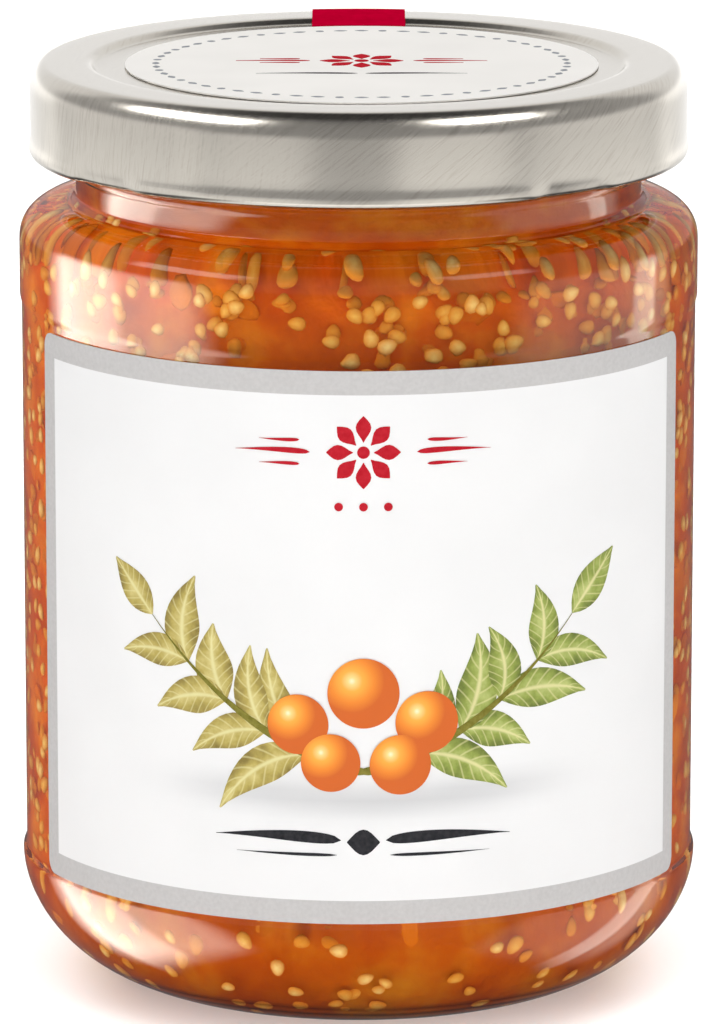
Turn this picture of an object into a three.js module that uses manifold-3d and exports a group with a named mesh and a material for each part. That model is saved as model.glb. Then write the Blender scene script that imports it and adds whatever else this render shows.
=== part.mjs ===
// A jar of physalis jam, in millimetres, +Z up, standing on Z = 0 with its axis on Z.
// Its front label faces -Y. The glass jar holds the jam with its seeds. A four-lug
// twist-off lid of tinplate is shut on the jar's thread. The lid has a sealing ring
// inside, a round paper label on top and a red paper strip over its back edge.
import * as THREE from "three";
import { mergeVertices } from "three/addons/utils/BufferGeometryUtils.js";
import Module from "manifold-3d";

// Every turned piece has this many flats.
const SIDES = 48;

// Glass jar
const BULGE_R = 34.25; // at the heel and the shoulder, just proud of the label
const PANEL_R = 33.9; // the wall under the label, set in a little
const PANEL_Z = [13.1, 69.4];
const FOOT_R = 20.5; // the outer edge of the ring that the jar stands on
const FOOT_WIDTH = 2.4;
const PUSH_UP = 1.4; // the underside's rise in the middle
const HEEL_HEIGHT = 12.6;
const HEEL_POWER = 1.85; // 2 is an ellipse, and less is softer
const SHOULDER_Z = [75.5, 79.5];
const SHOULDER_POWER = 2.4;
const NECK_R = 28.4;
const MOULD_BEAD_Z = 82.8; // a thin bead where the mould's halves for neck and body meet
const MOULD_BEAD = 0.35;
const FINISH_R = 29.5; // the wall above the neck, which carries the thread
const FINISH_Z = [85.8, 91.8];
const BORE_R = 27.1;
const RIM_ROUNDING = 0.5;
const WALL = 2.3;
const FLOOR_Z = 4.2; // the inside, at the edge of the floor
const FLOOR_CROWN = 0.9;

// Thread ridges on the glass and lugs on the lid
const LUGS = 4;
const FIRST_LUG = 40; // degrees from +X, with the lid shut
const LUG_WIDTH = 15; // degrees
const LUG_TIP_R = 30.2;
const LUG_Z = [84.35, 85.6];
const RIDGE_SECTION_R = 1.1;
const RIDGE_PROUD = 1.5;
const RIDGE_Z = 87.05; // its middle above a shut lug
const RIDGE_RISE = 1.6;
const RIDGE_SPAN = [-6, 52]; // degrees from a shut lug

// Lid
const LID_R = 32.9;
const LID_TOP_Z = 93.5;
const LID_RIM_Z = 84.1;
const LID_WALL = 0.5;
const LID_SHOULDER = [1.6, 2.6]; // across and down
const LID_PANEL_R = 26.3;
const LID_PANEL_DROP = 0.6;
const BUTTON_R = 11;
const BUTTON_DROP = 0.4; // the vacuum in the jar holds the button down
const CURL_R = [31.4, 33.05]; // the rolled edge
const CURL_HEIGHT = 1.6;
const CURL_ROUNDING = 0.4;
const CRIMP = { width: 8.4, depth: 0.3, lean: 22, height: 0.9 };
const SEAL_R = [27.3, 31.1];
const SEAL_HEIGHT = 0.9;
const SEAL_ROUNDING = 0.25;
const SEAL_GAP = 0.1;

// Jam
const JAM_GAP = 0.8; // from the glass to the jam between its seeds
const JAM_TOP_Z = 84.9;
const SEEDS = 130;
const SEED_HALF = [1.05, 0.8]; // half length and half width
const SEED_PROUD = 0.5;
const SEED_SUNK = 0.4;

// Paper
const PAPER = 0.25;
const PAPER_GAP = 0.05;
const LABEL_Z = [13.3, 68.6];
const LABEL_FLATS = 9; // flats of the jar that the label covers to each side of the front
const LABEL_CORNER = 1.6;
const LID_LABEL_R = 23.7;
const LID_LABEL_SHIFT = 0.3; // stuck on a little off the middle
const STRIP_WIDTH = 9.6;
const STRIP_START_R = 24.2;
const STRIP_END_Z = 86.4;

const wasm = await Module();
wasm.setup();

const rad = THREE.MathUtils.degToRad;
const point = (r, z) => new THREE.Vector2(r, z);

// Merged positions alone make a geometry a solid that can be joined and cut.
function solidOf(geometry) {
  geometry.deleteAttribute("normal");
  geometry.deleteAttribute("uv");
  const merged = mergeVertices(geometry, 1e-4);
  const mesh = new wasm.Mesh({
    numProp: 3,
    vertProperties: merged.attributes.position.array,
    triVerts: new Uint32Array(merged.index.array),
  });
  return new wasm.Manifold(mesh);
}

function geometryOf(solid) {
  const mesh = solid.getMesh();
  const geometry = new THREE.BufferGeometry();
  geometry.setAttribute("position", new THREE.BufferAttribute(mesh.vertProperties, 3));
  geometry.setIndex(new THREE.BufferAttribute(mesh.triVerts, 1));
  geometry.computeVertexNormals();
  return geometry;
}

// The section's points are (radius, height), anticlockwise, and it starts and ends on
// the axis or closes on itself.
function turned(section) {
  const geometry = new THREE.LatheGeometry(section, SIDES);
  geometry.rotateX(Math.PI / 2);
  return geometry;
}

// A quarter of a superellipse, from a point where it runs level to one where it is upright.
function quarter([r0, z0], [r1, z1], power, steps) {
  const points = [];
  for (let i = 0; i <= steps; i++) {
    const angle = (i / steps) * (Math.PI / 2);
    const out = Math.sin(angle) ** (2 / power);
    const up = 1 - Math.cos(angle) ** (2 / power);
    points.push(point(r0 + (r1 - r0) * out, z0 + (z1 - z0) * up));
  }
  return points;
}

// Numbers from 0 to 1, the same ones each run.
function numbersFrom(start) {
  let state = start;
  return () => {
    state = (state * 1664525 + 1013904223) % 2 ** 32;
    return state / 2 ** 32;
  };
}

// Glass jar

const INSIDE_R = PANEL_R - WALL;
const NECK_INSIDE_R = NECK_R - WALL;

// The hollow's outline from the middle of the floor up into the neck, smaller by a gap.
function hollow(gap, steps) {
  const floor = FLOOR_Z + gap;
  const floorR = FOOT_R - 1.5;
  const wallR = INSIDE_R - gap;
  const neckR = NECK_INSIDE_R - gap;
  const roof = SHOULDER_Z[1] - WALL + 0.3 - gap;
  const heel = quarter([floorR, floor], [wallR, HEEL_HEIGHT + 1], HEEL_POWER, steps);
  const shoulder = quarter([neckR + 0.6, roof], [wallR, SHOULDER_Z[0] - 1.2], SHOULDER_POWER, steps);
  return [
    point(0, floor + FLOOR_CROWN),
    point(floorR * 0.6, floor + FLOOR_CROWN * 0.8),
    ...heel,
    ...shoulder.reverse(),
    point(neckR, roof + 1),
  ];
}

function glassSection() {
  const bulgeTop = BULGE_R - 0.15;
  const footInside = FOOT_R - FOOT_WIDTH;
  const [finishLow, finishHigh] = FINISH_Z;
  return [
    point(0, PUSH_UP),
    point(footInside * 0.7, PUSH_UP * 0.8),
    point(footInside, 0),
    ...quarter([FOOT_R, 0], [BULGE_R, HEEL_HEIGHT], HEEL_POWER, 7),
    point(PANEL_R, PANEL_Z[0]),
    point(PANEL_R, PANEL_Z[1]),
    point(bulgeTop, PANEL_Z[1] + 0.5),
    ...quarter([NECK_R + 0.6, SHOULDER_Z[1]], [bulgeTop, SHOULDER_Z[0]], SHOULDER_POWER, 6).reverse(),
    point(NECK_R, SHOULDER_Z[1] + 0.7),
    point(NECK_R, MOULD_BEAD_Z - 0.5),
    point(NECK_R + MOULD_BEAD, MOULD_BEAD_Z),
    point(NECK_R, MOULD_BEAD_Z + 0.5),
    point(NECK_R, finishLow - (FINISH_R - NECK_R)),
    point(FINISH_R, finishLow),
    point(FINISH_R, finishHigh - RIM_ROUNDING),
    point(FINISH_R - RIM_ROUNDING, finishHigh),
    point(BORE_R + RIM_ROUNDING, finishHigh),
    point(BORE_R, finishHigh - RIM_ROUNDING),
    point(BORE_R, finishLow + 0.4),
    ...hollow(0, 6).reverse(),
  ];
}

// The middle line of a ridge: level above the shut lug, then climbing anticlockwise.
class RidgeLine extends THREE.Curve {
  constructor(index) {
    super();
    this.lug = FIRST_LUG + (index * 360) / LUGS;
  }

  getPoint(t, target = new THREE.Vector3()) {
    const turn = THREE.MathUtils.lerp(...RIDGE_SPAN, t);
    const angle = rad(this.lug + turn);
    const r = FINISH_R + RIDGE_PROUD - RIDGE_SECTION_R;
    const climb = RIDGE_RISE * THREE.MathUtils.smoothstep(turn, LUG_WIDTH / 2, RIDGE_SPAN[1]);
    return target.set(r * Math.cos(angle), r * Math.sin(angle), RIDGE_Z + climb);
  }
}

function threadRidge(index) {
  const section = new THREE.Shape();
  section.absarc(0, 0, RIDGE_SECTION_R, 0, 2 * Math.PI);
  return new THREE.ExtrudeGeometry(section, {
    extrudePath: new RidgeLine(index),
    steps: 8,
    curveSegments: 4,
  });
}

function jarGlass() {
  let glass = solidOf(turned(glassSection()));
  for (let i = 0; i < LUGS; i++) {
    glass = glass.add(solidOf(threadRidge(i)));
  }
  return geometryOf(glass);
}

// Jam with its seeds

function jamSection() {
  const jamR = NECK_INSIDE_R - JAM_GAP;
  return [
    ...hollow(JAM_GAP, 4),
    point(jamR, JAM_TOP_Z - 0.8),
    point(jamR - 0.8, JAM_TOP_Z),
    point(0, JAM_TOP_Z),
  ];
}

// The place on a section, and its outward normal, below which a share of the turned area lies.
function placeByArea(section, share) {
  const areas = section.slice(1).map((p, i) => p.distanceTo(section[i]) * (p.x + section[i].x));
  let left = share * areas.reduce((sum, area) => sum + area, 0);
  let i = 0;
  while (i < areas.length - 1 && left > areas[i]) {
    left -= areas[i];
    i += 1;
  }
  const along = section[i + 1].clone().sub(section[i]);
  const place = section[i].clone().addScaledVector(along, left / areas[i]);
  return { place, normal: point(along.y, -along.x).normalize() };
}

// A flat seed that stands out of the jam. Each one is a golden angle on from the last.
function seed(section, index, draw) {
  const { place, normal } = placeByArea(section, (index + 0.5) / SEEDS);
  const height = SEED_PROUD + SEED_SUNK;
  const flake = new THREE.CylinderGeometry(0.6, 1, height, 5);
  flake.scale(SEED_HALF[0], 1, SEED_HALF[1]);
  flake.translate(0, height / 2 - SEED_SUNK, 0);
  flake.rotateY(draw() * Math.PI);
  const angle = index * Math.PI * (3 - Math.sqrt(5)) + draw() * 0.3;
  const across = new THREE.Vector2(Math.cos(angle), Math.sin(angle));
  const outward = new THREE.Vector3(normal.x * across.x, normal.x * across.y, normal.y);
  const standing = new THREE.Quaternion().setFromUnitVectors(new THREE.Vector3(0, 1, 0), outward);
  flake.applyQuaternion(standing);
  flake.translate(place.x * across.x, place.x * across.y, place.y);
  return flake;
}

function jam() {
  const section = jamSection();
  const draw = numbersFrom(11);
  let body = solidOf(turned(section));
  for (let i = 0; i < SEEDS; i++) {
    body = body.add(solidOf(seed(section, i, draw)));
  }
  return geometryOf(body);
}

// Lid

// The lid's outline from the edge of its panel to the top of its skirt, larger by a gap.
function lidOutline(gap) {
  const [across, down] = LID_SHOULDER;
  const top = LID_TOP_Z + gap;
  const panelR = LID_PANEL_R - gap / 2;
  return [
    point(panelR, top - LID_PANEL_DROP),
    point(panelR + LID_PANEL_DROP, top),
    ...quarter([LID_R - across, top], [LID_R + gap, LID_TOP_Z - down], 2, 4),
  ];
}

function lidSection() {
  const panel = LID_TOP_Z - LID_PANEL_DROP;
  const button = panel - BUTTON_DROP;
  const [curlInside, curlOutside] = CURL_R;
  const curlTop = LID_RIM_Z + CURL_HEIGHT;
  return [
    point(0, button - LID_WALL),
    point(BUTTON_R - 0.6, button - LID_WALL),
    point(BUTTON_R + 1.4, panel - LID_WALL),
    ...lidOutline(-LID_WALL),
    point(LID_R - LID_WALL, curlTop),
    point(curlInside + CURL_ROUNDING, curlTop),
    point(curlInside, curlTop - CURL_ROUNDING),
    point(curlInside, LID_RIM_Z + CURL_ROUNDING),
    point(curlInside + CURL_ROUNDING, LID_RIM_Z),
    point(curlOutside - CURL_ROUNDING, LID_RIM_Z),
    point(curlOutside, LID_RIM_Z + CURL_ROUNDING),
    point(curlOutside, LID_RIM_Z + 1),
    point(LID_R, LID_RIM_Z + 1.3),
    ...lidOutline(0).reverse(),
    point(BUTTON_R + 1.4, panel),
    point(BUTTON_R - 0.6, button),
    point(0, button),
  ];
}

function lug() {
  const half = rad(LUG_WIDTH / 2);
  const sector = new THREE.Shape();
  sector.absarc(0, 0, CURL_R[0] + 0.6, -half, half, false);
  sector.absarc(0, 0, LUG_TIP_R, half, -half, true);
  const depth = LUG_Z[1] - LUG_Z[0];
  const geometry = new THREE.ExtrudeGeometry(sector, { depth, bevelEnabled: false, curveSegments: 3 });
  geometry.translate(0, 0, LUG_Z[0]);
  return geometry;
}

// What is cut from the curl's outside at a lug, to leave a flat that leans in below.
function crimp() {
  const size = 4;
  const cutter = new THREE.BoxGeometry(size, CRIMP.width, size);
  cutter.translate(size / 2, 0, 0);
  cutter.rotateY(rad(CRIMP.lean));
  cutter.translate(CURL_R[1] - CRIMP.depth, 0, LID_RIM_Z + CRIMP.height);
  return cutter;
}

function lidShell() {
  let shell = solidOf(turned(lidSection()));
  for (let i = 0; i < LUGS; i++) {
    const turn = rad(FIRST_LUG + (i * 360) / LUGS);
    shell = shell.add(solidOf(lug().rotateZ(turn)));
    shell = shell.subtract(solidOf(crimp().rotateZ(turn)));
  }
  return geometryOf(shell);
}

function sealRing() {
  const top = LID_TOP_Z - LID_WALL - SEAL_GAP;
  const [inside, outside] = SEAL_R;
  return turned([
    point(inside, top - SEAL_HEIGHT),
    point(outside, top - SEAL_HEIGHT),
    point(outside, top - SEAL_ROUNDING),
    point(outside - SEAL_ROUNDING, top),
    point(inside + SEAL_ROUNDING, top),
    point(inside, top - SEAL_ROUNDING),
    point(inside, top - SEAL_HEIGHT),
  ]);
}

// Paper

// The label's outline seen from the front, whose round corners look narrow at the sides.
function labelOutline(halfAngle, r) {
  const [low, high] = LABEL_Z;
  const across = LABEL_CORNER * Math.cos(halfAngle);
  const side = r * Math.sin(halfAngle) - across;
  const outline = new THREE.Shape();
  const corner = (x, z, start) =>
    outline.absellipse(x, z, across, LABEL_CORNER, rad(start), rad(start + 90), false, 0);
  corner(side, low + LABEL_CORNER, -90);
  corner(side, high - LABEL_CORNER, 0);
  corner(-side, high - LABEL_CORNER, 90);
  corner(-side, low + LABEL_CORNER, 180);
  return outline;
}

function frontLabel() {
  const insideR = PANEL_R + PAPER_GAP;
  const outsideR = insideR + PAPER;
  const angles = [];
  for (let i = -LABEL_FLATS; i <= LABEL_FLATS; i++) {
    angles.push(rad(-90 + (i * 360) / SIDES));
  }
  const arc = (r) => angles.map((angle) => point(r * Math.cos(angle), r * Math.sin(angle)));
  const band = new THREE.Shape([...arc(outsideR), ...arc(insideR).reverse()]);
  const depth = LABEL_Z[1] - LABEL_Z[0];
  const sheet = new THREE.ExtrudeGeometry(band, { depth, bevelEnabled: false });
  sheet.translate(0, 0, LABEL_Z[0]);
  const outline = labelOutline(rad((LABEL_FLATS * 360) / SIDES), outsideR);
  const cutter = new THREE.ExtrudeGeometry(outline, {
    depth: 2 * PANEL_R,
    bevelEnabled: false,
    curveSegments: 4,
  });
  cutter.rotateX(Math.PI / 2);
  return geometryOf(solidOf(sheet).intersect(solidOf(cutter)));
}

function lidLabel() {
  const disc = new THREE.CylinderGeometry(LID_LABEL_R, LID_LABEL_R, PAPER, SIDES);
  disc.rotateX(Math.PI / 2);
  disc.translate(LID_LABEL_SHIFT, 0, LID_TOP_Z - LID_PANEL_DROP + PAPER_GAP + PAPER / 2);
  return disc;
}

// A slice of a turned skin over the lid, cut out at the back.
function sealStrip() {
  const under = lidOutline(PAPER_GAP);
  const over = lidOutline(PAPER_GAP + PAPER).reverse();
  const underR = LID_R + PAPER_GAP;
  const skin = turned([
    point(STRIP_START_R, under[0].y),
    ...under,
    point(underR, STRIP_END_Z),
    point(underR + PAPER, STRIP_END_Z),
    ...over,
    point(STRIP_START_R, over.at(-1).y),
    point(STRIP_START_R, under[0].y),
  ]);
  const slice = new THREE.BoxGeometry(STRIP_WIDTH, LID_R, LID_R);
  slice.translate(0, LID_R, LID_TOP_Z);
  return geometryOf(solidOf(skin).intersect(solidOf(slice)));
}

// The object

const FINISHES = {
  glass: { color: 0xdfe9e2, roughness: 0.04, metalness: 0, transparent: true, opacity: 0.35 },
  jam: { color: 0xc96a14, roughness: 0.3, metalness: 0 },
  tinplate: { color: 0xc9c6bf, roughness: 0.32, metalness: 1 },
  sealant: { color: 0xe8e4da, roughness: 0.6, metalness: 0 },
  paper: { color: 0xf4f4f3, roughness: 0.55, metalness: 0 },
  redPaper: { color: 0xc00030, roughness: 0.5, metalness: 0 },
};

function piece(name, geometry, finish) {
  const mesh = new THREE.Mesh(geometry, new THREE.MeshStandardMaterial(FINISHES[finish]));
  mesh.name = name;
  return mesh;
}

const jar = new THREE.Group();
jar.add(piece("jar_glass", jarGlass(), "glass"));
jar.add(piece("jam", jam(), "jam"));
jar.add(piece("front_label", frontLabel(), "paper"));

const lid = new THREE.Group();
lid.add(piece("lid_shell", lidShell(), "tinplate"));
lid.add(piece("seal_ring", sealRing(), "sealant"));
lid.add(piece("lid_label", lidLabel(), "paper"));
lid.add(piece("seal_strip", sealStrip(), "redPaper"));

const object = new THREE.Group();
object.add(jar, lid);
export default object;
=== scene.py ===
import math

import bmesh
import bpy
import numpy as np
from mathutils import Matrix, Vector


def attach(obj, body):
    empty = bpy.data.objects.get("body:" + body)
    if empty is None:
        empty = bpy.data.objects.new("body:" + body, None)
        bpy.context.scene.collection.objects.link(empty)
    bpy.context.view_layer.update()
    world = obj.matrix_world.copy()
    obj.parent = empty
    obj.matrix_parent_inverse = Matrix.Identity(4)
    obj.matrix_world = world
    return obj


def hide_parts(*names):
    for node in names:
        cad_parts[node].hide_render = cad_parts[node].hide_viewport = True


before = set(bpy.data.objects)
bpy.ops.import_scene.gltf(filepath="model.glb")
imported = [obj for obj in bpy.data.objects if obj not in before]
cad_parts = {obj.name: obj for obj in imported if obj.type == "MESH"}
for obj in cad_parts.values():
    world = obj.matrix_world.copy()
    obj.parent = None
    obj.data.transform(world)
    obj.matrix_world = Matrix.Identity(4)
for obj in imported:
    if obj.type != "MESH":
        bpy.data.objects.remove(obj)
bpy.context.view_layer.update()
mm = 0.001
print("frame loaded with nodes", sorted(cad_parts))


# camera, at the height and angle of the photograph
cameraView = {
    "place": (0.09, -762.8, 218.3),  # mm
    "tiltDown": 12.652,  # degrees
    "focalLength": 7710.6,  # in pixels of a picture of this height
    "pictureHeight": 1024,
    "sensor": 36.0,
}


def placeCamera(view):
    camera = bpy.data.cameras.new("camera")
    camera.sensor_width = view["sensor"]
    camera.lens = view["focalLength"] * view["sensor"] / view["pictureHeight"]
    holder = bpy.data.objects.new("camera", camera)
    holder.location = [v * mm for v in view["place"]]
    holder.rotation_euler = (math.radians(90 - view["tiltDown"]), 0, 0)
    bpy.context.scene.collection.objects.link(holder)
    bpy.context.scene.camera = holder


placeCamera(cameraView)
bpy.context.scene.view_settings.view_transform = "Standard"
bpy.context.scene.cycles.caustics_refractive = False
print("camera placed")


# small helpers for colours, nodes and meshes
def linear(hexColour):
    channels = [int(hexColour[i : i + 2], 16) / 255 for i in (1, 3, 5)]
    return tuple(c / 12.92 if c < 0.04045 else ((c + 0.055) / 1.055) ** 2.4 for c in channels) + (1.0,)


def addNode(tree, kind, settings=None, links=None):
    node = tree.nodes.new("ShaderNode" + kind)
    for name, value in (settings or {}).items():
        if name == "stops":
            # of a colour ramp, with hex colours or plain numbers for grey light
            elements = node.color_ramp.elements
            while len(elements) < len(value):
                elements.new(0.5)
            for element, (position, colour) in zip(elements, value):
                element.position = position
                element.color = linear(colour) if isinstance(colour, str) else (colour, colour, colour, 1)
        elif isinstance(name, int) or name in node.inputs:
            node.inputs[name].default_value = value
        else:
            setattr(node, name, value)
    for name, source in (links or {}).items():
        tree.links.new(source.outputs[0] if hasattr(source, "outputs") else source, node.inputs[name])
    return node


def newMaterial(name):
    material = bpy.data.materials.new(name)
    material.use_nodes = True
    material.node_tree.nodes.clear()
    return material, material.node_tree


def span(low, high, toLow, toHigh):
    # settings that turn one range of values into another
    return {"From Min": low, "From Max": high, "To Min": toLow, "To Max": toHigh}


def grain(size, detail=2.0, roughness=0.5):
    # settings of a noise whose blotches are this wide in mm
    return {"Scale": 1 / (size * mm), "Detail": detail, "Roughness": roughness}


def mottled(tree, size, stops, detail=2.0, roughness=0.5):
    # blotches of colour, this wide in mm
    place = addNode(tree, "TexCoord").outputs["Object"]
    noise = addNode(tree, "TexNoise", grain(size, detail, roughness), {"Vector": place})
    return addNode(tree, "ValToRGB", {"stops": stops}, {"Fac": noise})


def uneven(tree, size, height, strength, detail=2.0):
    # waves in the surface, this wide and high in mm
    place = addNode(tree, "TexCoord").outputs["Object"]
    noise = addNode(tree, "TexNoise", grain(size, detail), {"Vector": place})
    return addNode(tree, "Bump", {"Strength": strength, "Distance": height * mm}, {"Height": noise})


def finishMaterial(material, shader, volume=None):
    output = addNode(material.node_tree, "OutputMaterial", links={"Surface": shader})
    if volume:
        material.node_tree.links.new(volume.outputs[0], output.inputs["Volume"])
    return material


def meshObject(name, points, faces, body, materials, faceMaterials=None, sharpAngle=40):
    mesh = bpy.data.meshes.new(name)
    mesh.from_pydata([tuple(p) for p in np.asarray(points) * mm], [], faces)
    for material in materials:
        mesh.materials.append(material)
    if faceMaterials is not None:
        mesh.polygons.foreach_set("material_index", faceMaterials)
    mesh.shade_smooth()
    if sharpAngle:
        mesh.set_sharp_from_angle(angle=math.radians(sharpAngle))
    piece = bpy.data.objects.new(name, mesh)
    bpy.context.scene.collection.objects.link(piece)
    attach(piece, body)
    return piece


def pointNumbers(piece, name, values):
    kind = "FLOAT_VECTOR" if np.ndim(values) == 2 else "FLOAT"
    attribute = piece.data.attributes.new(name, kind, "POINT")
    attribute.data.foreach_set("vector" if kind == "FLOAT_VECTOR" else "value", np.ravel(values))


def quarter(start, end, power, steps):
    # from where the curve runs level to where it is upright
    angles = np.linspace(0, math.pi / 2, steps + 1)
    out = np.sin(angles) ** (2 / power)
    up = 1 - np.abs(np.cos(angles)) ** (2 / power)
    return [(start[0] + (end[0] - start[0]) * a, start[1] + (end[1] - start[1]) * b) for a, b in zip(out, up)]


def dome(radius, base, height, power, share, steps):
    # a crowned floor from its middle out to a share of its radius
    places = np.linspace(0, share, steps)
    return [(radius * t, base + height * math.cos(t * math.pi / 2) ** power) for t in places]


def ease(start, end, steps):
    # an S-shaped step from one point to the other, without its start
    points = []
    for i in range(1, steps + 1):
        t = i / steps
        s = t * t * (3 - 2 * t)
        points.append((start[0] + (end[0] - start[0]) * s, start[1] + (end[1] - start[1]) * t))
    return points


def turned(profile, segments):
    # points and faces of a turned piece, and the profile's row that each face lies in
    angles = np.arange(segments) * 2 * math.pi / segments
    points, rings = [], []
    for r, z in profile:
        if r < 1e-6:
            rings.append([len(points)])
            points.append((0.0, 0.0, z))
        else:
            rings.append(list(range(len(points), len(points) + segments)))
            points += [(r * math.sin(a), -r * math.cos(a), z) for a in angles]
    faces, rows = [], []
    for row, (low, high) in enumerate(zip(rings, rings[1:])):
        for i in range(segments):
            j = (i + 1) % segments
            if len(low) == 1:
                face = (low[0], high[j], high[i])
            elif len(high) == 1:
                face = (low[i], low[j], high[0])
            else:
                face = (low[i], low[j], high[j], high[i])
            faces.append(face)
            rows.append(row)
    return np.array(points), faces, rows


# studio: a pale floor, a pale room with a dark ceiling, and soft boxes
studio = {
    "floorSize": 9.0,  # m
    "floorColours": [(0.3, "#f4f3f1"), (0.7, "#f7f6f5")],
    # light of the room: by the sine of the height, in front and behind, and below the floor's level from
    # right behind the jar (0) round to its front (1)
    "roomFront": [(0.0, 0.4), (0.2, 0.42), (0.5, 0.36), (0.74, 0.26), (0.9, 0.05), (1.0, 0.05)],
    "roomBack": [(0.0, 0.5), (0.12, 0.5), (0.5, 0.5), (0.78, 0.36), (0.94, 0.05), (1.0, 0.05)],
    "roomBelow": [(0.0, 0.15), (0.18, 0.2), (0.3, 0.4), (0.62, 0.35), (0.78, 0.16), (1.0, 0.16)],
    "roomUnder": 0.06,
    # where one gives way to the next, by the cosine of the turn or the sine of the height
    "frontToBack": (0.3, -0.3),
    "aboveToBelow": (0.02, -0.06),
    "belowToUnder": (-0.45, -0.7),
    "roomTint": "#f6f6f8",
    "glassTint": "#fffdf0",
}
softBoxes = {
    # name: direction from the jar, distance, width and height in m, brightness, what it alone lights;
    # those for lid and glass are only seen as reflections, and the others never are
    "keyLeft": ((-0.73, -0.30, 0.60), 1.1, 1.0, 0.42, 11.0, "lid"),
    "keyRight": ((0.58, -0.46, 0.65), 1.1, 0.68, 0.42, 11.0, "lid"),
    "frontFill": ((0.0, -1.0, 0.4), 1.5, 3.4, 1.8, 0.74, None),
    "above": ((0.0, 0.1, 1.0), 1.4, 1.6, 1.6, 3.05, None),
    "sideFill": ((-1.0, -0.1, 0.5), 1.3, 1.2, 1.4, 2.5, "jam"),
    "floorWash": ((0.0, -0.4, 1.0), 2.4, 3.0, 3.0, 4.2, "floor"),
    "glassKeyLeft": ((-0.73, -0.30, 0.62), 1.1, 1.0, 0.34, 3.6, "glass"),
    "glassKeyRight": ((0.58, -0.46, 0.67), 1.1, 0.68, 0.34, 2.4, "glass"),
    "glassPanelLeft": ((-0.96, 0.24, -0.42), 0.85, 0.62, 1.3, 4.4, "glass"),
    "glassPanelLeftWide": ((-1.0, -0.02, -0.42), 0.85, 1.5, 1.3, 4.8, "glass"),
    "glassPanelRight": ((0.93, 0.37, -0.42), 0.85, 0.24, 1.3, 2.6, "glass"),
    "glassPanelRightWide": ((1.0, 0.02, -0.42), 0.85, 1.5, 1.3, 1.1, "glass"),
    "lidPanelFront": ((0.0, -1.0, -0.45), 0.9, 3.0, 1.0, 0.5, "lid"),
    "lidPanelFrontLeft": ((-0.64, -0.77, -0.22), 0.9, 1.0, 0.6, 0.34, "lid"),
    "lidPanelFrontRight": ((0.56, -0.83, -0.22), 0.9, 0.9, 0.6, 0.44, "lid"),
    "lidPanelLeft": ((-1.0, 0.1, -0.2), 0.7, 1.5, 0.6, 0.66, "lid"),
    "lidPanelRight": ((1.0, 0.1, -0.2), 0.7, 1.5, 0.6, 0.66, "lid"),
    "lidPanelBack": ((0.0, 1.0, -0.16), 0.9, 2.6, 0.6, 0.8, "lid"),
    "lidPanelTop": ((0.0, 1.0, 0.42), 1.0, 3.0, 1.5, 0.62, "lid"),
    "lidPanelUnder": ((0.0, -0.5, -1.0), 0.8, 1.6, 1.2, 1.1, "lid"),
}


def paleFloor():
    # matt painted board: even and soft, with the faintest mottle
    material, tree = newMaterial("paleBoard")
    colour = mottled(tree, 60, studio["floorColours"], detail=3)
    shader = addNode(tree, "BsdfPrincipled", {"Roughness": 0.8}, {"Base Color": colour})
    finishMaterial(material, shader)
    half = studio["floorSize"] / 2
    mesh = bpy.data.meshes.new("floor")
    corners = [(-half, -half, 0), (half, -half, 0), (half, half, 0), (-half, half, 0)]
    mesh.from_pydata(corners, [], [(0, 1, 2, 3)])
    mesh.materials.append(material)
    floor = bpy.data.objects.new("floor", mesh)
    bpy.context.scene.collection.objects.link(floor)
    floor.visible_glossy = False  # the jar mirrors the room below it instead
    return floor


def paleRoom():
    world = bpy.data.worlds.new("room")
    bpy.context.scene.world = world
    world.use_nodes = True
    tree = world.node_tree
    tree.nodes.clear()
    direction = addNode(tree, "TexCoord").outputs["Generated"]
    parts = addNode(tree, "SeparateXYZ", links={"Vector": direction})
    up = parts.outputs["Z"]
    level = addNode(tree, "VectorMath", {"operation": "MULTIPLY", 1: (1, 1, 0)}, {0: direction})
    turn = addNode(tree, "VectorMath", {"operation": "NORMALIZE"}, {0: level})
    facing = addNode(tree, "SeparateXYZ", links={"Vector": turn}).outputs["Y"]
    frontness = addNode(tree, "MapRange", span(1, -1, 0, 1), {"Value": facing})
    front = addNode(tree, "ValToRGB", {"stops": studio["roomFront"]}, {"Fac": up})
    back = addNode(tree, "ValToRGB", {"stops": studio["roomBack"]}, {"Fac": up})
    below = addNode(tree, "ValToRGB", {"stops": studio["roomBelow"]}, {"Fac": frontness})
    forward = addNode(tree, "MapRange", span(*studio["frontToBack"], 0, 1), {"Value": facing})
    above = addNode(tree, "Mix", {"data_type": "RGBA"}, {0: forward, 6: back, 7: front})
    under = {"data_type": "RGBA", 7: (studio["roomUnder"],) * 3 + (1,)}
    deep = addNode(tree, "MapRange", span(*studio["belowToUnder"], 0, 1), {"Value": up})
    lower = addNode(tree, "Mix", under, {0: deep, 6: below})
    sunk = addNode(tree, "MapRange", span(*studio["aboveToBelow"], 0, 1), {"Value": up})
    links = {0: sunk, 6: above.outputs[2], 7: lower.outputs[2]}
    whole = addNode(tree, "Mix", {"data_type": "RGBA"}, links)
    tinted = {"data_type": "RGBA", "blend_type": "MULTIPLY", 0: 1.0, 7: linear(studio["roomTint"])}
    room = addNode(tree, "Mix", tinted, {6: whole.outputs[2]})
    light = addNode(tree, "Background", {"Strength": 1.0}, {"Color": room.outputs[2]})
    addNode(tree, "OutputWorld", links={"Surface": light})


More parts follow.
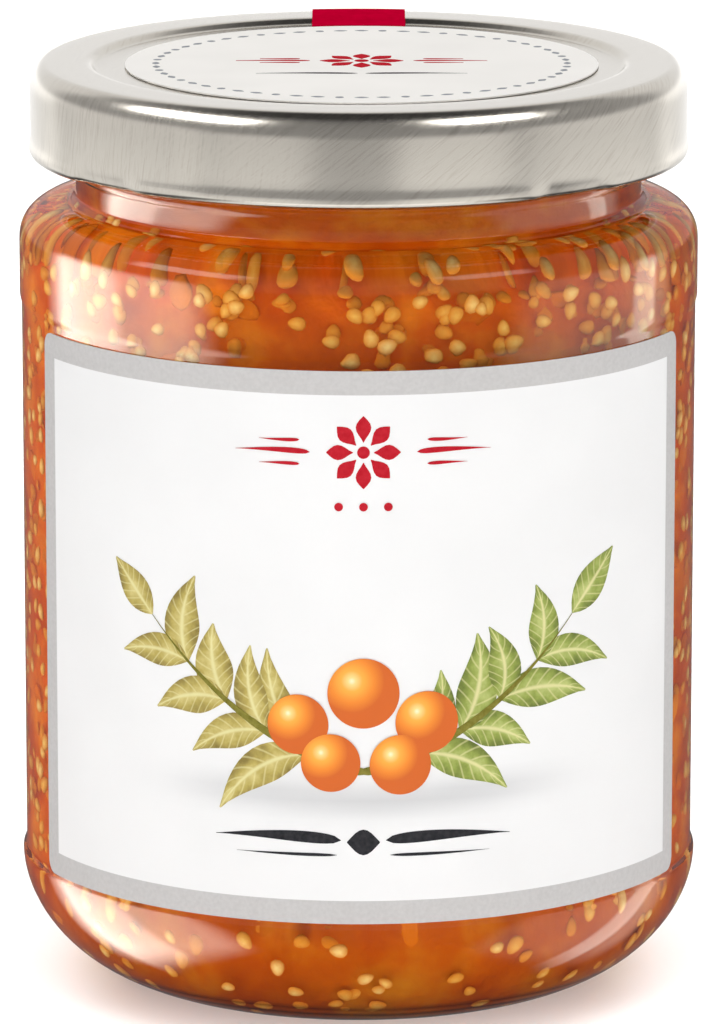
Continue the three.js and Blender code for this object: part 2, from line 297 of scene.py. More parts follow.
def softEdge(box, brightness, tint):
    # the box fades out towards its edges
    light = box.data
    light.use_nodes = True
    tree = light.node_tree
    tree.nodes.clear()
    spot = addNode(tree, "NewGeometry").outputs["Position"]
    turn = box.rotation_euler.to_matrix()
    fades = []
    for axis, size in ((0, light.size), (1, light.size_y)):
        way = turn.col[axis]
        settings = {"operation": "DOT_PRODUCT", 1: tuple(way)}
        along = addNode(tree, "VectorMath", settings, {0: spot}).outputs["Value"]
        away = addNode(tree, "Math", {"operation": "SUBTRACT", 1: way.dot(box.location)}, {0: along})
        away = addNode(tree, "Math", {"operation": "ABSOLUTE"}, {0: away})
        settings = {"interpolation_type": "SMOOTHSTEP", "From Min": size * 0.5, "From Max": size * 0.28}
        fades.append(addNode(tree, "MapRange", settings, {"Value": away}))
    fade = addNode(tree, "Math", {"operation": "MULTIPLY"}, {0: fades[0], 1: fades[1]})
    strength = addNode(tree, "Math", {"operation": "MULTIPLY", 1: brightness}, {0: fade})
    shader = addNode(tree, "Emission", {"Color": linear(tint)}, {"Strength": strength})
    addNode(tree, "OutputLight", links={"Surface": shader})


def placeSoftBoxes(lit):
    for name, (way, distance, width, height, brightness, only) in softBoxes.items():
        light = bpy.data.lights.new(name, "AREA")
        light.shape = "RECTANGLE"
        light.size = width
        light.size_y = height
        light.energy = math.pi * width * height
        box = bpy.data.objects.new(name, light)
        box.location = Vector(way).normalized() * distance + Vector((0, 0, 0.05))
        box.rotation_euler = (-Vector(way)).to_track_quat("-Z", "Y").to_euler()
        softEdge(box, brightness, studio["glassTint"] if only == "glass" else "#ffffff")
        box.visible_camera = False
        box.visible_glossy = only in ("lid", "glass")
        box.visible_diffuse = not box.visible_glossy
        bpy.context.scene.collection.objects.link(box)
        if only:
            group = bpy.data.collections.new(name)
            for piece in lit[only]:
                group.objects.link(piece)
            box.light_linking.receiver_collection = group
        if only == "floor":
            box.light_linking.blocker_collection = group


floorBoard = paleFloor()
paleRoom()
print("studio ready")


# glass jar
jarForm = {
    "bulgeR": 34.25,
    "panelR": 33.9,
    "panelZ": (13.1, 69.4),
    "footR": 20.5,
    "footWidth": 2.4,
    "pushUp": 1.4,
    "heelHeight": 12.6,
    "heelPower": 1.85,
    "shoulderZ": (75.5, 79.5),
    "shoulderPower": 2.4,
    "neckR": 28.4,
    "beadZ": 82.8,
    "bead": 0.14,
    "finishR": 29.5,
    "finishZ": (85.8, 91.8),
    "boreR": 27.1,
    "rimRounding": 0.5,
    "wall": 2.3,
    "hollowShoulder": (1.2, 0.3),  # mm: it starts this much lower, and its roof is this much thinner
    "ior": 1.52,
    "footTop": 4.6,  # mm: the foot's tinted glass ends here
    # bands up the foot: the olive of thick glass, with painted shade in the dark lines and painted light in
    # the pale ones
    "footTintAndShadeBands": [
        (0.0, "#54452a"), (0.2, "#1c170c"), (0.36, "#d0bc90"), (0.46, "#3c2f16"),
        (0.56, "#dcc698"), (0.66, "#6a5024"), (0.8, "#e8d4a8"), (1.0, "#f6f2ea"),
    ],
    "floorZ": 2.3,
    "floorCrown": 0.9,
    "floorR": 20.3,
    "segments": 192,
}
jamForm = {
    "topZ": 84.9,
    "wallGap": 0.02,
    "coreDepth": 2.9,
    "coreFloorDepth": 1.0,
    "coreRoofDepth": 0.9,
    "coreShoulderDrop": 2.2,
    "ior": 1.40,
    "tint": "#fedd59",
    "tintDensity": 120.0,  # per metre
    # from and to this height in mm, the pulp goes from one brightness to the other: painted shade in the
    # heel, painted light on the shoulder, painted shade in the neck under the lid
    "pulpPaintedLightAndShade": [(3, 16, 0.55, 1.0), (72.8, 75.2, 1.0, 1.24), (77.5, 80, 1.0, 0.6)],
}


def clearGlass(name, ior, bands=None):
    # flint glass, blown in a mould: sharp reflections with the slightest ripple; its thick foot is tinted in
    # thin olive bands, partly the glass's own tint and partly painted shade and light standing in for the dim
    # base seen through it
    material, tree = newMaterial(name)
    ripple = uneven(tree, 9, 0.12, 0.25, detail=1)
    settings = {"Transmission Weight": 1.0, "Roughness": 0.0, "IOR": ior, "Base Color": linear("#fafbf8")}
    glass = addNode(tree, "BsdfPrincipled", settings, {"Normal": ripple})
    # the foot's bands: olive glass tint with painted shade and painted light
    if bands:
        place = addNode(tree, "TexCoord").outputs["Object"]
        height = addNode(tree, "SeparateXYZ", links={"Vector": place}).outputs["Z"]
        noise = addNode(tree, "TexNoise", grain(14), {"Vector": place})
        waver = addNode(tree, "MapRange", span(0.3, 0.7, -0.12 * mm, 0.12 * mm), {"Value": noise})
        height = addNode(tree, "Math", {"operation": "ADD"}, {0: height, 1: waver})
        share = addNode(tree, "MapRange", span(0, jarForm["footTop"] * mm, 0, 1), {"Value": height})
        tint = addNode(tree, "ValToRGB", {"stops": bands}, {"Fac": share}).outputs[0]
        tree.links.new(tint, glass.inputs["Base Color"])
    clear = addNode(tree, "BsdfTransparent")
    rays = addNode(tree, "LightPath").outputs
    shader = addNode(tree, "MixShader", links={0: rays["Is Shadow Ray"], 1: glass, 2: clear})
    shader = addNode(tree, "MixShader", links={0: rays["Is Diffuse Ray"], 1: shader, 2: clear})
    return finishMaterial(material, shader)


def hollowOutline(gap, steps, floorGap=None, roofGap=None):
    # the hollow's outline from the middle of the floor up into the neck, smaller by a gap
    j = jarForm
    floorZ = j["floorZ"] + (gap if floorGap is None else floorGap)
    floorR = j["floorR"]
    wallR = j["panelR"] - j["wall"] - gap
    neckR = j["neckR"] - j["wall"] - gap
    lower, thinner = j["hollowShoulder"]
    roof = j["shoulderZ"][1] - j["wall"] + thinner - (gap if roofGap is None else roofGap)
    shoulderZ = j["shoulderZ"][0] - lower - (0 if roofGap is None else jamForm["coreShoulderDrop"])
    crown = dome(floorR, floorZ, j["floorCrown"], 0.8, 0.96, 9)
    heel = quarter((floorR, floorZ), (wallR, j["heelHeight"] + 0.3), j["heelPower"], steps)
    shoulder = quarter((neckR + 0.6, roof), (wallR, shoulderZ), j["shoulderPower"], steps)
    return crown + heel + shoulder[::-1] + ease((neckR + 0.6, roof), (neckR, roof + 1), 3)


def glassOutside():
    # from the middle of the push-up round the foot and up to the rim's inner edge
    j = jarForm
    footInside = j["footR"] - j["footWidth"]
    low, high = j["panelZ"]
    bulgeTop = j["bulgeR"] - 0.15
    neck = j["neckR"]
    finishLow, finishHigh = j["finishZ"]
    outline = dome(footInside, 0, j["pushUp"], 0.7, 0.97, 12)
    outline += [(footInside, 0.0), (footInside + 0.2, 0.0)]
    outline += quarter((j["footR"], 0.0), (j["bulgeR"], j["heelHeight"]), j["heelPower"], 26)
    outline += ease(outline[-1], (j["panelR"], low + 0.6), 5)
    outline += [(j["panelR"], z) for z in np.linspace(low + 4, high - 4, 12)]
    outline += ease((j["panelR"], high - 0.3), (bulgeTop, high + 0.8), 5)
    shoulderLow, shoulderHigh = j["shoulderZ"]
    outline += quarter((neck + 0.6, shoulderHigh), (bulgeTop, shoulderLow), j["shoulderPower"], 24)[::-1]
    outline += ease(outline[-1], (neck, shoulderHigh + 0.9), 4)
    bead = [(-0.6, 0), (-0.4, 0.15), (-0.2, 0.8), (0, 1), (0.2, 0.8), (0.4, 0.15), (0.6, 0)]
    outline += [(neck + j["bead"] * out, j["beadZ"] + up) for up, out in bead]
    outline += [(neck, finishLow - 1.3)] + ease((neck, finishLow - 1.2), (j["finishR"], finishLow + 0.1), 4)
    rounding = j["rimRounding"]
    rim = [(0, 1), (0.3, 0.3), (1, 0)]  # roundings in from the side, and down from the top
    outline += [(j["finishR"] - rounding * a, finishHigh - rounding * b) for a, b in rim]
    outline += [(j["boreR"] + rounding * a, finishHigh - rounding * b) for a, b in rim[::-1]]
    return outline


def glassJar():
    # the jelly wets the hollow, so light bends less there
    outside = glassOutside()
    dry = [(jarForm["boreR"], jarForm["finishZ"][0] + 0.6), (jarForm["boreR"] - 0.3, jamForm["topZ"] + 0.1)]
    inside = hollowOutline(0, 20)[::-1]
    points, faces, rows = turned(outside + dry + inside, jarForm["segments"])
    wetFrom = len(outside) + len(dry) - 1
    foot = sum(z < jarForm["footTop"] for r, z in outside)
    faceMaterials = [1 if row >= wetFrom else 2 if row < foot else 0 for row in rows]
    ior = jarForm["ior"]
    materials = [clearGlass("flintGlass", ior), clearGlass("wetGlass", ior / jamForm["ior"])]
    materials.append(clearGlass("footGlass", ior, jarForm["footTintAndShadeBands"]))
    jar = meshObject("jarGlass", points, faces, "jar", materials, faceMaterials, sharpAngle=None)
    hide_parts("jar_glass")
    return jar


glass = glassJar()
print("glass jar made")


# fruit spread: a clear orange jelly, with a darker cloudy middle, lumps of fruit and seeds
seedForm = {
    "coloursByDepth": [(0.0, "#efca84"), (0.25, "#eab65e"), (0.55, "#e29a3c"), (1.0, "#d88020")],
    "rimColour": "#d8862c",
    "deepest": 3.0,  # mm below the glass, where the last of these colours is reached
    "nearCount": 1900,
    "deepCount": 1900,
    "half": (0.9, 0.7, 0.32),  # mm
    "nearDepth": (0.05, 1.2),
    "deepDepth": (1.0, 2.8),
    "fewerBelow": (14.0, 0.35),  # mm, share that is kept below it
}
lumpForm = {"count": 300, "half": (1.7, 1.1, 0.3), "depth": (2.0, 2.8)}


def orangeJelly():
    # set fruit jelly: clear amber that turns orange with depth
    material, tree = newMaterial("orangeJelly")
    clear = addNode(tree, "BsdfTransparent")
    settings = {"Color": linear(jamForm["tint"]), "Density": jamForm["tintDensity"]}
    return finishMaterial(material, clear, addNode(tree, "VolumeAbsorption", settings))


def cloudyPulp():
    # cooked pulp deep in the jelly: soft blotches from amber to burnt orange, with painted shade and painted
    # light by height
    material, tree = newMaterial("cloudyPulp")
    stops = [(0.3, "#c2520a"), (0.5, "#d46810"), (0.7, "#e68e22")]
    colour = mottled(tree, 7, stops, detail=3, roughness=0.55)
    place = addNode(tree, "TexCoord").outputs["Object"]
    height = addNode(tree, "SeparateXYZ", links={"Vector": place}).outputs["Z"]
    # painted shade and painted light by height: darker heel, lighter shoulder, darker neck under the lid
    for low, high, fromShade, toShade in jamForm["pulpPaintedLightAndShade"]:
        shade = addNode(tree, "MapRange", span(low * mm, high * mm, fromShade, toShade), {"Value": height})
        colour = addNode(tree, "VectorMath", {"operation": "SCALE"}, {0: colour, "Scale": shade})
    links = {"Base Color": colour, "Normal": uneven(tree, 2.5, 0.8, 0.6, detail=3)}
    shader = addNode(tree, "BsdfPrincipled", {"Roughness": 0.6, "Specular IOR Level": 0.0}, links)
    return finishMaterial(material, shader)


def paleSeed():
    # physalis seeds: flat, cream, finely netted, oranger with depth, their edges lost in the jelly
    material, tree = newMaterial("paleSeed")
    sunk = addNode(tree, "Attribute", {"attribute_name": "sunk"}).outputs["Fac"]
    base = addNode(tree, "ValToRGB", {"stops": seedForm["coloursByDepth"]}, {"Fac": sunk})
    net = mottled(tree, 0.35, [(0.25, "#d9b47c"), (0.6, "#ffffff")])
    settings = {"data_type": "RGBA", "blend_type": "MULTIPLY", 0: 0.3}
    darker = addNode(tree, "Mix", settings, {6: base, 7: net}).outputs[2]
    rim = addNode(tree, "Attribute", {"attribute_name": "rim"}).outputs["Fac"]
    amount = addNode(tree, "MapRange", span(0.2, 1.0, 0.0, 0.95), {"Value": rim})
    settings = {"data_type": "RGBA", 7: linear(seedForm["rimColour"])}
    soft = addNode(tree, "Mix", settings, {0: amount, 6: darker}).outputs[2]
    settings = {"Roughness": 0.5, "Specular IOR Level": 0.0}
    return finishMaterial(material, addNode(tree, "BsdfPrincipled", settings, {"Base Color": soft}))


def fruitLump():
    # scraps of cooked fruit skin and flesh: brighter, yellower orange
    material, tree = newMaterial("fruitLump")
    tone = addNode(tree, "Attribute", {"attribute_name": "tone"}).outputs["Fac"]
    stops = [(0.0, "#d26c10"), (0.5, "#dc7c16"), (1.0, "#ea9424")]
    colour = addNode(tree, "ValToRGB", {"stops": stops}, {"Fac": tone})
    links = {"Base Color": colour, "Normal": uneven(tree, 0.9, 0.3, 0.5)}
    shader = addNode(tree, "BsdfPrincipled", {"Roughness": 0.5, "Specular IOR Level": 0.0}, links)
    return finishMaterial(material, shader)


def scatterOnOutline(outline, count, draw):
    # places spread evenly over the turned surface, with the outward normals there
    line = np.array(outline)
    step = np.diff(line, axis=0)
    area = np.hypot(step[:, 0], step[:, 1]) * (line[:-1, 0] + line[1:, 0])
    chosen = draw.choice(len(area), count, p=area / area.sum())
    along = draw.random(count)[:, None]
    spot = line[chosen] + step[chosen] * along
    turn = draw.random(count) * 2 * math.pi
    out = np.stack([step[chosen, 1], -step[chosen, 0]], 1)
    out /= np.linalg.norm(out, axis=1)[:, None]
    across = np.stack([np.sin(turn), -np.cos(turn)], 1)
    places = np.column_stack([across * spot[:, :1], spot[:, 1]])
    normals = np.column_stack([across * out[:, :1], out[:, 1]])
    return places, normals


def ballPoints(subdivisions):
    ball = bmesh.new()
    bmesh.ops.create_icosphere(ball, subdivisions=subdivisions, radius=1.0)
    points = np.array([v.co[:] for v in ball.verts])
    faces = np.array([[v.index for v in f.verts] for f in ball.faces])
    ball.free()
    return points, faces


def grains(name, count, half, depth, tilt, draw, material, pinch=0.0, wobble=0.0):
    # flattened grains that lie in the jelly at a depth below the glass
    places, normals = scatterOnOutline(hollowOutline(jamForm["wallGap"], 20), count, draw)
    limit, share = seedForm["fewerBelow"]
    kept = (places[:, 2] > limit) | (draw.random(count) < share)
    places, normals, count = places[kept], normals[kept], int(kept.sum())
    ball, ballFaces = ballPoints(2)
    helper = np.where(np.abs(normals[:, 2:]) > 0.9, [[1.0, 0, 0]], [[0, 0, 1.0]])
    first = np.cross(helper, normals)
    first /= np.linalg.norm(first, axis=1)[:, None]
    second = np.cross(normals, first)
    spin = draw.random(count)[:, None] * 2 * math.pi
    longAxis = first * np.cos(spin) + second * np.sin(spin)
    lean = (draw.random(count)[:, None] * 2 - 1) * math.radians(tilt)
    wideAxis = np.cross(normals, longAxis)
    tiltedLong = longAxis * np.cos(lean) + normals * np.sin(lean)
    flatAxis = np.cross(tiltedLong, wideAxis)
    size = np.array(half) * (0.8 + 0.4 * draw.random((count, 1)))
    reach = np.hypot(size[:, 0] * np.sum(tiltedLong * normals, 1), size[:, 2] * np.sum(flatAxis * normals, 1))
    below = depth[0] + (depth[1] - depth[0]) * draw.random(count)
    middles = places - normals * (reach + below)[:, None]
    shape = ball.copy()
    shape[:, 1] *= 1 - pinch * shape[:, 0]
    points = np.repeat(middles[:, None], len(ball), axis=1)
    for axis, way in enumerate((tiltedLong, wideAxis, flatAxis)):
        points += shape[None, :, axis, None] * (way * size[:, axis : axis + 1])[:, None]
    points += wobble * (draw.random(points.shape) - 0.5)
    faces = (ballFaces[None] + np.arange(count)[:, None, None] * len(ball)).reshape(-1, 3)
    piece = meshObject(name, points.reshape(-1, 3), faces.tolist(), "jar", [material], sharpAngle=None)
    pointNumbers(piece, "tone", np.repeat(draw.random(count), len(ball)))
    pointNumbers(piece, "sunk", np.repeat(np.clip(below / seedForm["deepest"], 0, 1), len(ball)))
    pointNumbers(piece, "rim", np.tile(np.hypot(ball[:, 0], ball[:, 1]), count))
    piece.visible_shadow = False  # the jelly passes light round them
    return piece


def fruitSpread():
    draw = np.random.default_rng(5)
    top = jamForm["topZ"]
    outline = hollowOutline(jamForm["wallGap"], 20)
    neckR = outline[-1][0]
    lid = [(neckR, top), (neckR - 0.3, top - 0.35), (neckR - 1.4, top - 0.5), (0.0, top - 0.5)]
    points, faces, rows = turned(outline + lid, jarForm["segments"])
    jelly = meshObject("jamJelly", points, faces, "jar", [orangeJelly()])
    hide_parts("jam")
    core = hollowOutline(jamForm["coreDepth"], 14, jamForm["coreFloorDepth"], jamForm["coreRoofDepth"])
    coreR = core[-1][0]
    points, faces, rows = turned(core + [(coreR, top - 2.2), (0.0, top - 2.2)], 128)
    pulp = meshObject("jamPulp", points, faces, "jar", [cloudyPulp()])
    seed = paleSeed()
    s = seedForm
    near = grains("jamSeedsNear", s["nearCount"], s["half"], s["nearDepth"], 18, draw, seed, 0.25)
    deep = grains("jamSeedsDeep", s["deepCount"], s["half"], s["deepDepth"], 40, draw, seed, 0.25)
    f, lump = lumpForm, fruitLump()
    lumps = grains("jamFruitLumps", f["count"], f["half"], f["depth"], 25, draw, lump, 0.2, 0.25)
    return [pulp, near, deep, lumps]


jam = fruitSpread()
print("fruit spread made")


# papers: thin closed sheets, laid flat on the lid or bent round the jar
def discGrid(radius, steps, middle=(0, 0), squash=1.0):
    # a square grid of points pulled into a disc
    t = np.linspace(-1, 1, steps)
    u, v = np.meshgrid(t, t, indexing="ij")
    x = u * np.sqrt(1 - v * v / 2)
    y = v * np.sqrt(1 - u * u / 2)
    return np.stack([x * radius, y * radius * squash], -1) + list(middle), np.stack([x, y], -1)


def bezier(curve, t):
    # the place and the direction at t along a curve through three control points
    p0, p1, p2 = (np.array(p, float) for p in curve)
    place = (1 - t) ** 2 * p0 + 2 * t * (1 - t) * p1 + t * t * p2
    return place, 2 * (1 - t) * (p1 - p0) + 2 * t * (p2 - p1)


def bladeGrid(start, middle, end, width, steps=(14, 7), power=0.9):
    # a leaf or stroke along a curve, of this width in its middle
    t = np.linspace(0, 1, steps[0])[:, None]
    line, along = bezier((start, middle, end), t)
    along /= np.linalg.norm(along, axis=1)[:, None]
    across = np.stack([-along[:, 1], along[:, 0]], 1)
    half = width / 2 * np.maximum(np.sin(math.pi * t**power), 0.04)
    side = np.linspace(-1, 1, steps[1])
    grid = line[:, None] + across[:, None] * (half * side[None])[..., None]
    local = np.stack(np.broadcast_arrays(t, side[None]), -1)
    return grid, local


def thinSolids(name, patches, bend, body, materials):
    # each patch is a grid of places, its local places and the two levels that it lies between
    points, faces, localPlaces = [], [], []
    for tone, (grid, local, low, high) in enumerate(patches):
        nu, nv = grid.shape[:2]
        base = len(points)
        index = np.arange(nu * nv).reshape(nu, nv)
        for level in (high, low):
            points += [bend(a, b, level) for a, b in grid.reshape(-1, 2)]
            localPlaces += [(a, b, tone) for a, b in local.reshape(-1, 2)]
        middle = grid[nu // 2, nv // 2]
        flip = np.cross(middle - grid[nu // 2 - 1, nv // 2], middle - grid[nu // 2, nv // 2 - 1]) < 0
        quads = np.stack([index[:-1, :-1], index[1:, :-1], index[1:, 1:], index[:-1, 1:]], -1).reshape(-1, 4)
        rim = list(index[0, :]) + list(index[1:, -1]) + list(index[-1, -2::-1]) + list(index[-2:0:-1, 0])
        sheet = [side for quad in quads for side in (quad, quad[::-1] + nu * nv)]
        sheet += [(i, j, j + nu * nv, i + nu * nv) for i, j in zip(rim, rim[1:] + rim[:1])]
        faces += [[int(base + i) for i in (face[::-1] if flip else face)] for face in sheet]
    piece = meshObject(name, points, faces, body, materials)
    pointNumbers(piece, "inkPlace", np.array(localPlaces, float))
    return piece


labelForm = {
    "insideR": 33.95,
    "paper": 0.15,
    "halfAngle": 66.6,
    "turn": 0.8,  # degrees, stuck on a little to the right
    "z": (13.3, 68.6),
    "corner": 1.4,
    "border": 2.35,
}
inkRise = 0.02  # mm from one printed layer to the next, and down into the paper


def onJar(s, z, r):
    angle = s / labelForm["insideR"] + math.radians(labelForm["turn"])
    return (r * math.sin(angle), -r * math.cos(angle), z)


def onLid(x, y, height):
    return (x, y, height)


def labelPaper(name, colour, shade=None):
    # coated label paper: white, satin, with a faint tooth
    material, tree = newMaterial(name)
    base = mottled(tree, 14, [(0.35, colour[0]), (0.65, colour[1])])
    if shade:
        amount = addNode(tree, "Attribute", {"attribute_name": shade}).outputs["Fac"]
        mix = addNode(tree, "Mix", {"data_type": "RGBA", 7: linear("#9fa0a3")}, {0: amount, 6: base})
        base = mix.outputs[2]
    settings = {"Roughness": 0.55, "Specular IOR Level": 0.1}
    links = {"Base Color": base, "Normal": uneven(tree, 0.25, 0.02, 0.3, detail=3)}
    return finishMaterial(material, addNode(tree, "BsdfPrincipled", settings, links))


def printedInk(name, dark, light, size=0.5, specular=0.0):
    # offset ink on coated paper: even colour, a little mottled, with a satin skin
    material, tree = newMaterial(name)
    colour = mottled(tree, size, [(0.3, dark), (0.7, light)], detail=3)
    settings = {"Roughness": 0.5, "Specular IOR Level": specular}
    return finishMaterial(material, addNode(tree, "BsdfPrincipled", settings, {"Base Color": colour}))


def printedLeaf(name, stops):
    # a leaf in printed watercolour: light midrib, side veins and darker edges
    material, tree = newMaterial(name)
    local = addNode(tree, "Attribute", {"attribute_name": "inkPlace"}).outputs["Vector"]
    parts = addNode(tree, "SeparateXYZ", links={"Vector": local})
    along, across, tone = parts.outputs
    away = addNode(tree, "Math", {"operation": "ABSOLUTE"}, {0: across})
    slant = addNode(tree, "Math", {"operation": "MULTIPLY_ADD", 1: -0.16}, {0: away, 2: along})
    wave = addNode(tree, "Math", {"operation": "MULTIPLY", 1: 8 * 2 * math.pi}, {0: slant})
    vein = addNode(tree, "Math", {"operation": "SINE"}, {0: wave})
    veinLine = addNode(tree, "MapRange", span(0.72, 1.0, 0, 0.5), {"Value": vein})
    rib = addNode(tree, "MapRange", span(0.16, 0.04, 0, 0.8), {"Value": away})
    lines = addNode(tree, "Math", {"operation": "MAXIMUM"}, {0: veinLine, 1: rib})
    place = addNode(tree, "TexCoord").outputs["Object"]
    cloud = addNode(tree, "TexNoise", grain(2.2, 4, 0.6), {"Vector": place})
    edge = addNode(tree, "Math", {"operation": "MULTIPLY_ADD", 1: -0.35}, {0: away, 2: cloud})
    body = addNode(tree, "ValToRGB", {"stops": stops}, {"Fac": edge})
    mix = addNode(tree, "Mix", {"data_type": "RGBA", 7: linear("#e3dca0")}, {0: lines, 6: body})
    shader = addNode(tree, "BsdfPrincipled", {"Roughness": 0.42}, {"Base Color": mix.outputs[2]})
    return finishMaterial(material, shader)


def printedBerry():
    # a round orange berry in print: bright top left, deeper at the lower edge
    material, tree = newMaterial("printedBerry")
    local = addNode(tree, "Attribute", {"attribute_name": "inkPlace"}).outputs["Vector"]
    parts = addNode(tree, "SeparateXYZ", links={"Vector": local})
    flat = addNode(tree, "CombineXYZ", links={0: parts.outputs[0], 1: parts.outputs[1]})
    settings = {"operation": "DISTANCE", 1: (-0.32, 0.36, 0)}
    glint = addNode(tree, "VectorMath", settings, {0: flat}).outputs["Value"]
    stops = [(0.0, "#fff3cf"), (0.1, "#ffd98a"), (0.3, "#fbae3c"), (0.62, "#f28a1e"), (0.9, "#d9640f")]
    colour = addNode(tree, "ValToRGB", {"stops": stops}, {"Fac": glint})
    shader = addNode(tree, "BsdfPrincipled", {"Roughness": 0.4}, {"Base Color": colour})
    return finishMaterial(material, shader)


def labelSheet():
    f = labelForm
    halfLength = math.radians(f["halfAngle"]) * f["insideR"]
    low, high = f["z"]
    middle, halfHeight = (low + high) / 2, (high - low) / 2
    c, b = f["corner"], f["border"]

    def lines(half, count):
        corner = np.linspace(half - c, half, 6)
        edge = [half - b, *corner]
        inner = np.linspace(-(half - b), half - b, count)
        return np.array([-x for x in edge[:0:-1]] + list(inner) + list(edge[1:]))

    s = lines(halfLength, 91)
    t = lines(halfHeight, 51)
    grid = np.stack(np.meshgrid(s, t, indexing="ij"), -1)
    u = np.clip((np.abs(grid[..., 0]) - (halfLength - c)) / c, 0, 1)
    v = np.clip((np.abs(grid[..., 1]) - (halfHeight - c)) / c, 0, 1)
    inCorner = (u > 0) & (v > 0)
    pulledU = np.where(inCorner, u * np.sqrt(1 - v * v / 2), u)
    pulledV = np.where(inCorner, v * np.sqrt(1 - u * u / 2), v)
    grid[..., 0] += np.sign(grid[..., 0]) * (pulledU - u) * c
    grid[..., 1] += np.sign(grid[..., 1]) * (pulledV - v) * c
    local = grid.copy()
    grid[..., 1] += middle
    outsideR = f["insideR"] + f["paper"]
    paper = labelPaper("labelPaper", ("#e9e9e9", "#ececec"), "shade")
    patch = (grid, local, f["insideR"], outsideR)
    silver = printedInk("silverInk", "#bfbdbc", "#c7c5c4", 0.4, 0.25)
    label = thinSolids("frontLabel", [patch], onJar, "jar", [paper, silver])
    # faces whose middle lies in the border take the silver ink
    places = np.concatenate([local.reshape(-1, 2)] * 2)
    mesh = label.data
    for face in mesh.polygons:
        x, y = np.abs(places[list(face.vertices)]).mean(0)
        face.material_index = int(x > halfLength - b or y > halfHeight - b)
    # printed soft shadows under the picture
    shade = np.zeros(len(places))
    for x, z, wide, tall, depth in labelShadows:
        across, up = (places[:, 0] - x) / wide, (places[:, 1] + middle - z) / tall
        shade += depth * np.exp(-across * across - up * up)
    pointNumbers(label, "shade", np.clip(shade, 0, 1))
    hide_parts("front_label")
    return outsideR


labelShadows = [(-11, 26.5, 8, 1.6, 0.35), (1, 25.6, 9, 1.5, 0.4), (12, 26.5, 8, 1.6, 0.35)]
twigs = [
    # start, middle, end, width in mm on the label: across from its middle, and up
    ((1.5, 28.5), (-10, 30), (-22, 43), 0.9),
    ((-1.5, 28.5), (10, 30), (22, 43), 0.9),
]
berries = [(-6.4, 33.4, 3.0), (6.2, 33.6, 3.1), (0.0, 36.6, 3.5), (-3.2, 29.6, 2.9), (3.6, 29.4, 3.0)]
leafTones = [
    ("Left", "Straw", [(0.05, "#8c7a35"), (0.3, "#b9a652"), (0.55, "#d6c87e")]),
    ("Right", "Green", [(0.05, "#66752a"), (0.3, "#93a244"), (0.55, "#bcc573")]),
]
leafRule = {"perTwig": 5, "length": (8.0, 11.5), "width": (3.4, 4.6), "lean": (38, 62)}


def leavesOn(curve, draw):
    rule = leafRule
    patches = []
    for i in range(rule["perTwig"]):
        t = 0.3 + 0.7 * i / (rule["perTwig"] - 1)
        place, along = bezier(curve[:3], t)
        heading = math.atan2(along[1], along[0])
        sides = (0,) if i == rule["perTwig"] - 1 else (-1, 1)
        for side in sides:
            lean = math.radians(draw.uniform(*rule["lean"])) * side
            length = draw.uniform(*rule["length"]) * (1.05 - 0.25 * t)
            width = draw.uniform(*rule["width"]) * (1.05 - 0.2 * t)
            tip = place + length * np.array([math.cos(heading + lean), math.sin(heading + lean)])
            bow = heading + lean * 0.45
            middle = place + length * 0.5 * np.array([math.cos(bow), math.sin(bow)])
            patches.append(bladeGrid(place, middle, tip, width, power=0.8))
    return patches


def layered(patches, level):
    # each patch lies a hair higher than the one before it
    solids = []
    for i, (grid, local) in enumerate(patches):
        solids.append((grid, local, level - inkRise, level + inkRise * (1 + 0.12 * i)))
    return solids


def labelPicture(outsideR):
    # a spray of orange berries between two leafy twigs
    draw = np.random.default_rng(8)
    for twig, (side, tone, stops) in zip(twigs, leafTones):
        leaf = printedLeaf(f"printed{tone}Leaf", stops)
        thinSolids(f"labelLeaves{side}", layered(leavesOn(twig, draw), outsideR), onJar, "jar", [leaf])
    stem = printedInk("printedStem", "#6f6a2c", "#8a8440")
    stems = [bladeGrid(*twig[:3], twig[3], steps=(24, 3), power=0.5) for twig in twigs]
    thinSolids("labelTwigs", layered(stems, outsideR + 0.05), onJar, "jar", [stem])
    discs = [discGrid(radius, 15, (x, z)) for x, z, radius in berries]
    thinSolids("labelBerries", layered(discs, outsideR + 0.07), onJar, "jar", [printedBerry()])


def starPatches(middle, radius, petals, squash=1.0):
    patches = []
    for i in range(petals):
        angle = i * 2 * math.pi / petals + math.pi / 2
        way = np.array([math.cos(angle), math.sin(angle) * squash])
        start = np.array(middle) + way * radius * 0.28
        end = np.array(middle) + way * radius
        patches.append(bladeGrid(start, (start + end) / 2, end, radius * 0.42, steps=(8, 5), power=1.2))
    return patches + [discGrid(radius * 0.17, 7, middle, squash)]


def strokePatches(strokes):
    return [bladeGrid(a, b, c, w, steps=(20, 3), power=0.5) for a, b, c, w in strokes]


def mirrored(strokes):
    # each stroke again on the other side
    return strokes + [(*((-x, z) for x, z in stroke[:3]), stroke[3]) for stroke in strokes]


redMark = {"z": 60.6, "radius": 3.6, "petals": 8, "dotsX": (-2.4, 0, 2.4), "dotsZ": 55.2, "dotR": 0.42}
redStrokes = [
    # start, middle, end, width: mirrored to the other side
    ((5.2, 60.6), (8.5, 60.9), (12.6, 60.6), 0.55),
    ((6.2, 59.4), (8.0, 59.5), (10.2, 59.4), 0.35),
    ((6.2, 61.8), (8.0, 61.7), (10.2, 61.8), 0.35),
]
darkStrokes = [
    ((2.2, 21.8), (8.5, 22.5), (14.8, 21.8), 1.15),
    ((2.6, 20.3), (8.0, 20.3), (12.6, 20.3), 0.32),
]
darkLozenge = ((-1.6, 21.6), (0, 21.6), (1.6, 21.6), 2.6)


